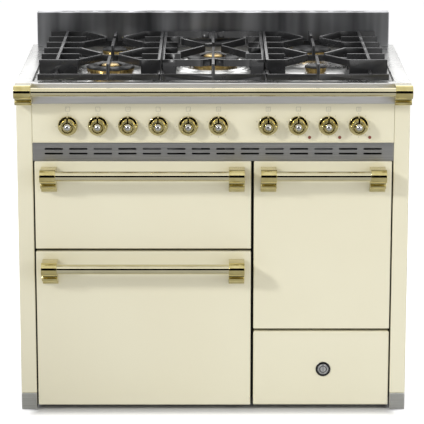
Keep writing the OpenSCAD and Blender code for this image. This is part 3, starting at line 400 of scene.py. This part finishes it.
def makeWorktop():
    # pressed sheet with soft folds; its front is brushed along its length, and its front faces carry a tone
    # of their own, painted light for how that side takes the light
    bm = cleanCopy("worktop")
    roundEdges(bm, worktopLook["edge"], worktopLook["steps"])
    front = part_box("worktop")[0][1]
    # the front-facing faces take the separately toned copy: painted light on that side
    for face in bm.faces:
        spot = face.calc_center_median()
        if face.normal.y < -0.7 and spot.y < front + worktopLook["lip"]:
            face.material_index = 1
    piece = newPiece("worktop_pressed", toMesh(bm, "worktopPressed"), bodyOf["worktop"],
                     [finishes["polished_steel"], fasciaSteelPaintedTone])
    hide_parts("worktop")


makeWorktop()
print("worktop made")


knobLook = {"count": 10, "gasKnobs": 5, "edge": 0.6 * mm, "steps": 2, "domeRadius": 10.2 * mm,
            "domeDepth": 7 * mm}


def makeKnob(number):
    # brass knob with its bright plated dome
    node = "knob_%d" % number
    low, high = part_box(node)
    axisX, axisZ = (low[0] + high[0]) / 2, (low[2] + high[2]) / 2
    bm = cleanCopy(node)
    roundEdges(bm, knobLook["edge"], knobLook["steps"])
    for face in bm.faces:
        spot = face.calc_center_median()
        off = math.hypot(spot.x - axisX, spot.z - axisZ)
        if off < knobLook["domeRadius"] and spot.y < low[1] + knobLook["domeDepth"]:
            face.material_index = 1
    piece = newPiece(node + "_turned", toMesh(bm, node + "Turned"), bodyOf[node],
                     [finishes["polished_brass"], finishes["dome_chrome"]])
    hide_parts(node)


for number in range(1, knobLook["count"] + 1):
    makeKnob(number)
print("knobs made:", knobLook["count"])


def ringMesh(rings):
    # closed skin over rings of points, each ring joined to the next
    bm = bmesh.new()
    grown = [[bm.verts.new(spot) for spot in ring] for ring in rings]
    for one, two in zip(grown, grown[1:] + grown[:1]):
        for j in range(len(one)):
            k = (j + 1) % len(one)
            bm.faces.new((one[j], two[j], two[k], one[k]))
    bmesh.ops.remove_doubles(bm, verts=bm.verts, dist=weldLook["rings"])
    bmesh.ops.recalc_face_normals(bm, faces=bm.faces)
    return bm


badgeLook = {"x": 286 * mm, "z": 113.6 * mm, "radius": 19.2 * mm, "height": 3 * mm, "sunk": 0.3 * mm,
             "rim": 5.0 * mm, "ring": 8.5 * mm, "line": 0.9 * mm, "shoulder": 1.2 * mm, "groove": 0.3 * mm,
             "step": 0.1 * mm, "inlay": 0.2 * mm, "axis": 0.001 * mm, "sides": 64}


def makeBadge():
    # plain round badge: a black lacquered rim round a satin middle with one plain dark ring
    r, rim, h = badgeLook["radius"], badgeLook["rim"], badgeLook["height"]
    ring, line = badgeLook["ring"], badgeLook["line"]
    axis, back, step = badgeLook["axis"], -badgeLook["sunk"], badgeLook["step"]
    x, z = badgeLook["x"], badgeLook["z"]
    # radius and height of each step, from the back round to the middle of the face
    profile = [(axis, back), (r, back), (r, h * 0.6), (r - badgeLook["shoulder"], h * 0.9), (r - rim, h),
               (r - rim - badgeLook["groove"], h * 0.6), (ring + line, h * 0.72),
               (ring + line - step, h * 0.6), (ring - line, h * 0.6), (ring - line - step, h * 0.78),
               (ring * 0.4, h * 0.9), (axis, h * 0.92)]
    angles = [2 * math.pi * i / badgeLook["sides"] for i in range(badgeLook["sides"])]
    bm = ringMesh([[Vector((x + radius * math.cos(a), faceY - height, z + radius * math.sin(a)))
                    for a in angles] for radius, height in profile])
    for face in bm.faces:
        spot = face.calc_center_median()
        off = math.hypot(spot.x - x, spot.z - z)
        face.material_index = 0 if off < r - rim - badgeLook["inlay"] and abs(off - ring) > line else 1
    newPiece("drawer_badge", toMesh(bm, "drawerBadge", 50), "drawer",
             [badgeSteel, blackLacquer])


makeBadge()
print("badge made")


pressLook = {
    # place of each side burner, radius of its rim, half width and half depth of the star round it
    "stars": [(-267, 191.5, 24, 98, 70), (-267, -80.5, 53, 108, 78),
              (267, 191.5, 43, 104, 74), (267, -80.5, 19, 94, 68)],
    # how far the star's waist and its inner edge lie outside the rim, its corners' reach and sharpness
    "waist": 13, "gap": 9.5, "corner": 1.36, "sharpness": 2.2,
    # place of the middle burner and the radii of the soft waves pressed round it
    "middle": (0, 64.5), "waves": [(84, 98), (108, 124)], "waveSteps": 8,
    "rise": 2.6 * mm, "thin": 0.4 * mm, "step": 0.1 * mm, "wellDepth": 12 * mm, "sides": 96}


def makePressings():
    # four-cornered stars pressed up round the side burners, and round waves at the middle one
    floorZ = topZ - pressLook["wellDepth"]
    low, rise = floorZ - pressLook["thin"], floorZ + pressLook["rise"]
    steel = finishes["polished_steel"]
    angles = [2 * math.pi * i / pressLook["sides"] for i in range(pressLook["sides"])]
    for number, (x, y, radius, halfX, halfY) in enumerate(pressLook["stars"], 1):
        spot = Vector((x, y, 0)) * mm
        mean = (halfX + halfY) / 2
        waist = radius + pressLook["waist"]
        outer, inner = [], []
        for a in angles:
            pull = abs(math.sin(2 * a)) ** pressLook["sharpness"]  # 1 at the corners of the star
            reach = waist + (pressLook["corner"] * mean - waist) * pull
            outer.append(spot + Vector((math.cos(a) * halfX, math.sin(a) * halfY, 0)) * (reach / mean * mm))
            inner.append(spot + Vector((math.cos(a), math.sin(a), 0)) * (radius + pressLook["gap"]) * mm)
        levels = ((inner, low), (outer, low), (outer, floorZ + pressLook["step"]), (inner, rise))
        rings = [[Vector((p.x, p.y, z)) for p in ring] for ring, z in levels]
        newPiece("well_star_%d" % number, toMesh(ringMesh(rings), "wellStar", 12), "cooker",
                 [steel])
    middleX, middleY = [place * mm for place in pressLook["middle"]]
    for number, (near, far) in enumerate(pressLook["waves"], 1):
        profile = [(near, low), (far, low)]
        for i in range(pressLook["waveSteps"] + 1):
            share = 1 - i / pressLook["waveSteps"]
            height = pressLook["rise"] * math.sin(math.pi * share) ** 2
            profile.append((near + (far - near) * share, floorZ + height))
        rings = [[Vector((middleX + r * mm * math.cos(a), middleY + r * mm * math.sin(a), z))
                  for a in angles] for r, z in profile]
        newPiece("well_wave_%d" % number, toMesh(ringMesh(rings), "wellWave", 40), "cooker",
                 [steel])


makePressings()
print("pressings made")


# Repeated small parts, made with geometry nodes

def newTree(name, inputs):
    tree = bpy.data.node_groups.new(name, "GeometryNodeTree")
    tree.interface.new_socket("Geometry", in_out="OUTPUT", socket_type="NodeSocketGeometry")
    for label, (kind, value) in inputs.items():
        socket = tree.interface.new_socket(label, in_out="INPUT", socket_type="NodeSocket" + kind)
        socket.default_value = value
    return tree, addNode(tree, "NodeGroupInput").outputs


def finishTree(tree, geometry, material):
    real = addNode(tree, "GeometryNodeRealizeInstances", links={"Geometry": geometry})
    coated = addNode(tree, "GeometryNodeSetMaterial", {"Material": material},
                     {"Geometry": real.outputs["Geometry"]})
    addNode(tree, "NodeGroupOutput", links={"Geometry": coated.outputs["Geometry"]})


# width of a screw's flange as a share of its head's, thickness and sides of the flange, height of the head,
# and the turn that lays its axis along y
screwLook = {"flange": 1.3, "flangeThick": 1.2 * mm, "flangeSides": 20, "headHigh": 5 * mm,
             "turn": (math.pi / 2, 0, 0)}


def screwRowTree(material):
    # hexagon screw heads on a flange, along a line of equal steps
    tree, given = newTree("screwRow", {
        "Start": ("Vector", (0, 0, 0)), "Step": ("Vector", (0.1, 0, 0)), "Count": ("Int", 5),
        "Turn": ("Rotation", (0, 0, 0)), "Head Radius": ("Float", 4 * mm)})
    line = addNode(tree, "GeometryNodeMeshLine", links={
        "Count": given["Count"], "Start Location": given["Start"], "Offset": given["Step"]})
    flange = addNode(tree, "ShaderNodeMath", {1: screwLook["flange"]}, {0: given["Head Radius"]},
                     operation="MULTIPLY")
    disc = addNode(tree, "GeometryNodeMeshCylinder",
                   {"Vertices": screwLook["flangeSides"], "Depth": screwLook["flangeThick"]},
                   {"Radius": flange.outputs[0]})
    head = addNode(tree, "GeometryNodeMeshCylinder", {"Vertices": 6, "Depth": screwLook["headHigh"]},
                   {"Radius": given["Head Radius"]})
    both = addNode(tree, "GeometryNodeJoinGeometry")
    tree.links.new(disc.outputs["Mesh"], both.inputs["Geometry"])
    tree.links.new(head.outputs["Mesh"], both.inputs["Geometry"])
    placed = addNode(tree, "GeometryNodeInstanceOnPoints", links={
        "Points": line.outputs["Mesh"], "Instance": both.outputs["Geometry"], "Rotation": given["Turn"]})
    finishTree(tree, placed.outputs["Instances"], material)
    return tree


def dialTree(material):
    # short printed strokes round a knob, on the panel's face
    tree, given = newTree("dialStrokes", {
        "Centre": ("Vector", (0, 0, 0)), "Radius": ("Float", 30 * mm), "Count": ("Int", 9),
        "First Angle": ("Float", 0.0), "Angle Step": ("Float", 0.5),
        "Stroke": ("Vector", (0.8 * mm, 0.3 * mm, 3 * mm))})
    points = addNode(tree, "GeometryNodeMeshLine", {"Offset": (0, 0, 0)}, {"Count": given["Count"]})
    index = addNode(tree, "GeometryNodeInputIndex")
    turned = addNode(tree, "ShaderNodeMath", operation="MULTIPLY_ADD", links={
        0: index.outputs["Index"], 1: given["Angle Step"], 2: given["First Angle"]})
    turn = addNode(tree, "ShaderNodeCombineXYZ", links={"Y": turned.outputs[0]})
    arm = addNode(tree, "ShaderNodeCombineXYZ", links={"Z": given["Radius"]})
    spot = addNode(tree, "ShaderNodeVectorRotate",
                   links={"Vector": arm.outputs[0], "Rotation": turn.outputs[0]}, rotation_type="EULER_XYZ")
    place = addNode(tree, "ShaderNodeVectorMath", links={0: spot.outputs[0], 1: given["Centre"]},
                    operation="ADD")
    moved = addNode(tree, "GeometryNodeSetPosition", links={
        "Geometry": points.outputs["Mesh"], "Position": place.outputs[0]})
    stroke = addNode(tree, "GeometryNodeMeshCube", links={"Size": given["Stroke"]})
    rotation = addNode(tree, "FunctionNodeEulerToRotation", links={"Euler": turn.outputs[0]})
    placed = addNode(tree, "GeometryNodeInstanceOnPoints", links={
        "Points": moved.outputs["Geometry"], "Instance": stroke.outputs["Mesh"],
        "Rotation": rotation.outputs["Rotation"]})
    finishTree(tree, placed.outputs["Instances"], material)
    return tree


def growMesh(tree, values):
    # runs a tree once with the given inputs and returns the plain mesh
    holder = bpy.data.objects.new("holder", bpy.data.meshes.new("holder"))
    bpy.context.scene.collection.objects.link(holder)
    modifier = holder.modifiers.new("grow", "NODES")
    modifier.node_group = tree
    sockets = {item.name: item.identifier for item in tree.interface.items_tree if item.in_out == "INPUT"}
    for label, value in values.items():
        modifier[sockets[label]] = value
    holder.update_tag()
    graph = bpy.context.evaluated_depsgraph_get()
    mesh = bpy.data.meshes.new_from_object(holder.evaluated_get(graph))
    holder.modifiers.remove(modifier)
    bpy.data.objects.remove(holder)
    return mesh


def joinedPiece(name, meshes, body, material):
    # several meshes as one piece in one material; the meshes are used up
    bm = bmesh.new()
    for mesh in meshes:
        bm.from_mesh(mesh)
        bpy.data.meshes.remove(mesh)
    for face in bm.faces:
        face.material_index = 0
    return newPiece(name, toMesh(bm, name), body, [material])


# the cable collar stands 8 mm behind the rear cover, a liner's pressing 4 mm behind its flat edge
coverScrews = {"head": 4.0 * mm, "edge": 8 * mm, "side": 34 * mm, "rows": 5, "columns": 7,
               "collar": 8 * mm, "proud": 0.4 * mm}
linerScrews = {"head": 3.0 * mm, "edge": 6 * mm, "side": 90 * mm, "count": 3,
               "pressing": 4 * mm, "proud": 0.3 * mm}


def makeCoverScrews():
    # one row along the top and the bottom of the rear cover, one column at each side
    tree = screwRowTree(finishes["zinc_plated_steel"])
    low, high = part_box("back_panel")
    back = high[1] - coverScrews["collar"] + coverScrews["proud"]
    x0, x1 = low[0] + coverScrews["side"], high[0] - coverScrews["side"]
    z0, z1 = low[2] + coverScrews["edge"], high[2] - coverScrews["edge"]
    across = (x1 - x0) / (coverScrews["columns"] - 1)
    up = (z1 - z0) / (coverScrews["rows"] + 1)
    rows = [((x0, back, z), (across, 0, 0), coverScrews["columns"]) for z in (z0, z1)]
    rows += [((x, back, z0 + up), (0, 0, up), coverScrews["rows"]) for x in (x0, x1)]
    meshes = [growMesh(tree, {"Start": start, "Step": step, "Count": count, "Turn": screwLook["turn"],
                              "Head Radius": coverScrews["head"]}) for start, step, count in rows]
    joinedPiece("rear_cover_screws", meshes, "cooker", finishes["zinc_plated_steel"])


def makeLinerScrews():
    # three screws along the top and the bottom of each door's inner panel
    tree = screwRowTree(finishes["zinc_plated_steel"])
    for door in ("grill", "main", "tall"):
        low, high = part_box(door + "_door_liner")
        y = high[1] - linerScrews["pressing"] + linerScrews["proud"]
        across = (high[0] - low[0] - 2 * linerScrews["side"]) / (linerScrews["count"] - 1)
        meshes = [growMesh(tree, {"Start": (low[0] + linerScrews["side"], y, z), "Step": (across, 0, 0),
                                  "Count": linerScrews["count"], "Turn": screwLook["turn"],
                                  "Head Radius": linerScrews["head"]})
                  for z in (low[2] + linerScrews["edge"], high[2] - linerScrews["edge"])]
        joinedPiece(door + "_door_screws", meshes, door + "_door",
                    finishes["zinc_plated_steel"])


makeCoverScrews()
makeLinerScrews()
print("screws made")


printLook = {
    "proud": 0.15 * mm, "sunk": 0.1 * mm,
    # strokes round a knob: how many, and the degrees from one to the next
    "dialRadius": 30 * mm, "stroke": (1.1 * mm, 0.3 * mm, 3.2 * mm),
    "gasStrokes": (3, -95), "ovenStrokes": (9, 36),
    # square above a knob, with the place of its burner or with one to three bars
    "iconUp": 42 * mm, "iconSize": 11 * mm, "line": 0.9 * mm, "spread": 0.5,
    "burners": [(-1, 1), (-1, -1), (0, 0), (1, 1), (1, -1)],
    "barReach": 0.55, "bar": (-3 * mm, -2.2 * mm), "barStep": 3 * mm}


def flatBar(bm, x0, x1, z0, z1):
    # thin printed bar on the panel, closed all round
    depths = (faceY - printLook["proud"], faceY + printLook["sunk"])
    corners = [(x, y, z) for x in (x0, x1) for y in depths for z in (z0, z1)]
    bmesh.ops.convex_hull(bm, input=[bm.verts.new(c) for c in corners])


def makePrint():
    # faint fired marks: strokes round each knob, and a small square above it
    tree = dialTree(printInk)
    meshes = []
    bm = bmesh.new()
    for number in range(1, knobLook["count"] + 1):
        low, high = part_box("knob_%d" % number)
        x, z = (low[0] + high[0]) / 2, (low[2] + high[2]) / 2
        gas = number <= knobLook["gasKnobs"]
        count, degrees = printLook["gasStrokes" if gas else "ovenStrokes"]
        meshes.append(growMesh(tree, {
            "Centre": (x, faceY - printLook["proud"] / 2, z), "Radius": printLook["dialRadius"],
            "Count": count, "First Angle": 0.0, "Angle Step": math.radians(degrees),
            "Stroke": printLook["stroke"]}))
        half, line, up = printLook["iconSize"] / 2, printLook["line"], z + printLook["iconUp"]
        for side in (-1, 1):
            flatBar(bm, x + side * half - line / 2, x + side * half + line / 2, up - half, up + half)
            flatBar(bm, x - half, x + half, up + side * half - line / 2, up + side * half + line / 2)
        if gas:
            dx, dz = [side * half * printLook["spread"] for side in printLook["burners"][number - 1]]
            flatBar(bm, x + dx - line, x + dx + line, up + dz - line, up + dz + line)
        else:
            reach = half * printLook["barReach"]
            for i in range((number - knobLook["gasKnobs"]) % 3 + 1):
                foot, head = [up + edge + i * printLook["barStep"] for edge in printLook["bar"]]
                flatBar(bm, x - reach, x + reach, foot, head)
    icons = bpy.data.meshes.new("panelIcons")
    bm.to_mesh(icons)
    bm.free()
    joinedPiece("panel_print", meshes + [icons], "cooker", printInk)


makePrint()
print("panel print made")


# Stage, light and camera

floorLook = {"size": 15, "colour": 0.86, "mirrored": 0.6, "glow": 0.6, "paintedShadowAtSides": (-0.05, -0.01),
             "paintedShadowInFront": (0.0, 0.06)}


def makeStage():
    # pale floor that looks white to the camera; its glow fades out under the cooker and in a band just in
    # front of it, a painted shadow there
    material, tree = newMaterial("paleStudioFloor")
    path = addNode(tree, "ShaderNodeLightPath")
    # in reflections the floor shows a darker grey than its own colour: painted shade in what the bars,
    # handles and knobs mirror
    shade = addNode(tree, "ShaderNodeMix", {6: grey(floorLook["colour"]), 7: grey(floorLook["mirrored"])},
                    {0: path.outputs["Is Glossy Ray"]}, data_type="RGBA")
    base = addNode(tree, "ShaderNodeBsdfDiffuse", links={"Color": shade.outputs[2]})
    space = addNode(tree, "ShaderNodeTexCoord").outputs["Object"]
    split = addNode(tree, "ShaderNodeSeparateXYZ", links={"Vector": space})
    # the glow is taken away over the cooker's footprint and a band in front of the doors: painted shadow
    sides = []
    for letter, low, high, fade in (("X", cadBox[0][0], cadBox[1][0], floorLook["paintedShadowAtSides"]),
                                    ("Y", faceY, cadBox[1][1], floorLook["paintedShadowInFront"])):
        middle, half = (low + high) / 2, (high - low) / 2
        off = addNode(tree, "ShaderNodeMath", {1: middle}, {0: split.outputs[letter]}, operation="SUBTRACT")
        far = addNode(tree, "ShaderNodeMath", links={0: off.outputs[0]}, operation="ABSOLUTE")
        sides.append(addNode(tree, "ShaderNodeMapRange", {
            "From Min": half + fade[0], "From Max": half + fade[1], "To Max": floorLook["glow"]},
            {"Value": far.outputs[0]}, interpolation_type="SMOOTHSTEP").outputs["Result"])
    glow = addNode(tree, "ShaderNodeMath", links={0: sides[0], 1: sides[1]}, operation="MAXIMUM")
    fill = addNode(tree, "ShaderNodeEmission", {"Color": grey(1.0)}, {"Strength": glow.outputs[0]})
    both = addNode(tree, "ShaderNodeAddShader", links={0: base.outputs[0], 1: fill.outputs[0]})
    mixed = addNode(tree, "ShaderNodeMixShader", links={
        "Fac": path.outputs["Is Camera Ray"], 1: base.outputs[0], 2: both.outputs[0]})
    addNode(tree, "ShaderNodeOutputMaterial", links={"Surface": mixed.outputs[0]})
    bm = bmesh.new()
    bmesh.ops.create_grid(bm, x_segments=1, y_segments=1, size=floorLook["size"])
    floor = bpy.data.objects.new("floor", toMesh(bm, "floor"))
    floor.data.materials.append(material)
    bpy.context.scene.collection.objects.link(floor)


# two upright black cards in front of the cooker; the wide one shows only in reflections, as the dark
# lines along bars, domes and brackets, and the small one only shades the lower left door from the key lamp
clothColour = "#0a0908"
cardLook = {
    "flag": {"away": 4.0, "across": (-5.5, 5.5), "up": (0.06, 3.2), "mirrored": True},
    "shade": {"away": 1.77, "across": (-3.2, -2.3), "up": (0.5, 1.93), "mirrored": False},
}


def makeCards():
    # black cloth on frames, never seen by the camera itself
    material, tree = newMaterial("blackFlagCloth")
    cloth = addNode(tree, "ShaderNodeBsdfDiffuse", {"Color": toLinear(clothColour), "Roughness": 1.0})
    addNode(tree, "ShaderNodeOutputMaterial", links={"Surface": cloth.outputs["BSDF"]})
    for name, look in cardLook.items():
        (left, right), (low, high) = look["across"], look["up"]
        bm = bmesh.new()
        bm.faces.new([bm.verts.new((x, faceY - look["away"], z)) for x, z in (
            (right, low), (left, low), (left, high), (right, high))])
        card = bpy.data.objects.new(name, toMesh(bm, name))
        card.data.materials.append(material)
        card.visible_camera = card.visible_diffuse = card.visible_transmission = False
        card.visible_glossy = look["mirrored"]
        card.visible_shadow = not look["mirrored"]
        bpy.context.scene.collection.objects.link(card)


worldLook = {"lighting": 0.45, "seen": 1.0}


def makeWorld():
    # white all round, seen and mirrored in full but dimmer as a light
    world = bpy.data.worlds.new("studio")
    world.use_nodes = True
    tree = world.node_tree
    tree.nodes.clear()
    path = addNode(tree, "ShaderNodeLightPath")
    seen = addNode(tree, "ShaderNodeMath", operation="MAXIMUM",
                   links={0: path.outputs["Is Camera Ray"], 1: path.outputs["Is Glossy Ray"]})
    seenMore = addNode(tree, "ShaderNodeMath", operation="MAXIMUM",
                       links={0: seen.outputs[0], 1: path.outputs["Is Transmission Ray"]})
    strength = addNode(tree, "ShaderNodeMapRange",
                       {"To Min": worldLook["lighting"], "To Max": worldLook["seen"]},
                       {"Value": seenMore.outputs[0]})
    light = addNode(tree, "ShaderNodeBackground", {"Color": grey(1.0)},
                    {"Strength": strength.outputs["Result"]})
    addNode(tree, "ShaderNodeOutputWorld", links={"Surface": light.outputs[0]})
    bpy.context.scene.world = world


lampLook = {
    "key": {"place": (-4.2, -3.8, 3.4), "aim": (0, -0.2, 0.7), "size": 0.7, "power": 140},
    "fill": {"place": (2.8, -2.5, 1.3), "aim": (0.3, -0.2, 0.5), "size": 2.2, "power": 30},
    "strip": {"place": (0, -4.1, 3.4), "aim": (0, -0.2, 0.7), "size": 8.0, "height": 0.3, "power": 10},
    "back": {"place": (0, 2.4, 2.5), "aim": (0, 0, 0.87), "size": 2.6, "height": 1.4, "power": 20},
    "top": {"place": (0, 0.4, 3.6), "aim": (0, 0, 0.8), "size": 2.0, "power": 26, "seen": False},
}


def makeLamps():
    for name, look in lampLook.items():
        lamp = bpy.data.lights.new(name, "AREA")
        lamp.shape = "RECTANGLE"
        lamp.size = look["size"]
        lamp.size_y = look.get("height", look["size"])
        lamp.energy = look["power"]
        holder = bpy.data.objects.new(name, lamp)
        holder.location = look["place"]
        direction = Vector(look["aim"]) - Vector(look["place"])
        holder.rotation_euler = direction.to_track_quat("-Z", "Y").to_euler()
        holder.visible_camera = False
        holder.visible_glossy = look.get("seen", True)
        bpy.context.scene.collection.objects.link(holder)


cameraLook = {"across": -0.003, "away": 5.767, "height": 1.912, "pitch": 13.44, "lens": 196.5,
              "sensor": 36, "clipEnd": 100}


def makeCamera():
    camera = bpy.data.cameras.new("camera")
    camera.lens = cameraLook["lens"]
    camera.sensor_width = cameraLook["sensor"]
    camera.clip_end = cameraLook["clipEnd"]
    holder = bpy.data.objects.new("camera", camera)
    holder.location = (cameraLook["across"], faceY - cameraLook["away"], cameraLook["height"])
    holder.rotation_euler = (math.radians(90 - cameraLook["pitch"]), 0, 0)
    bpy.context.scene.collection.objects.link(holder)
    bpy.context.scene.camera = holder


makeStage()
makeCards()
makeWorld()
makeLamps()
makeCamera()
bpy.context.scene.view_settings.view_transform = "Standard"
print("scene ready")
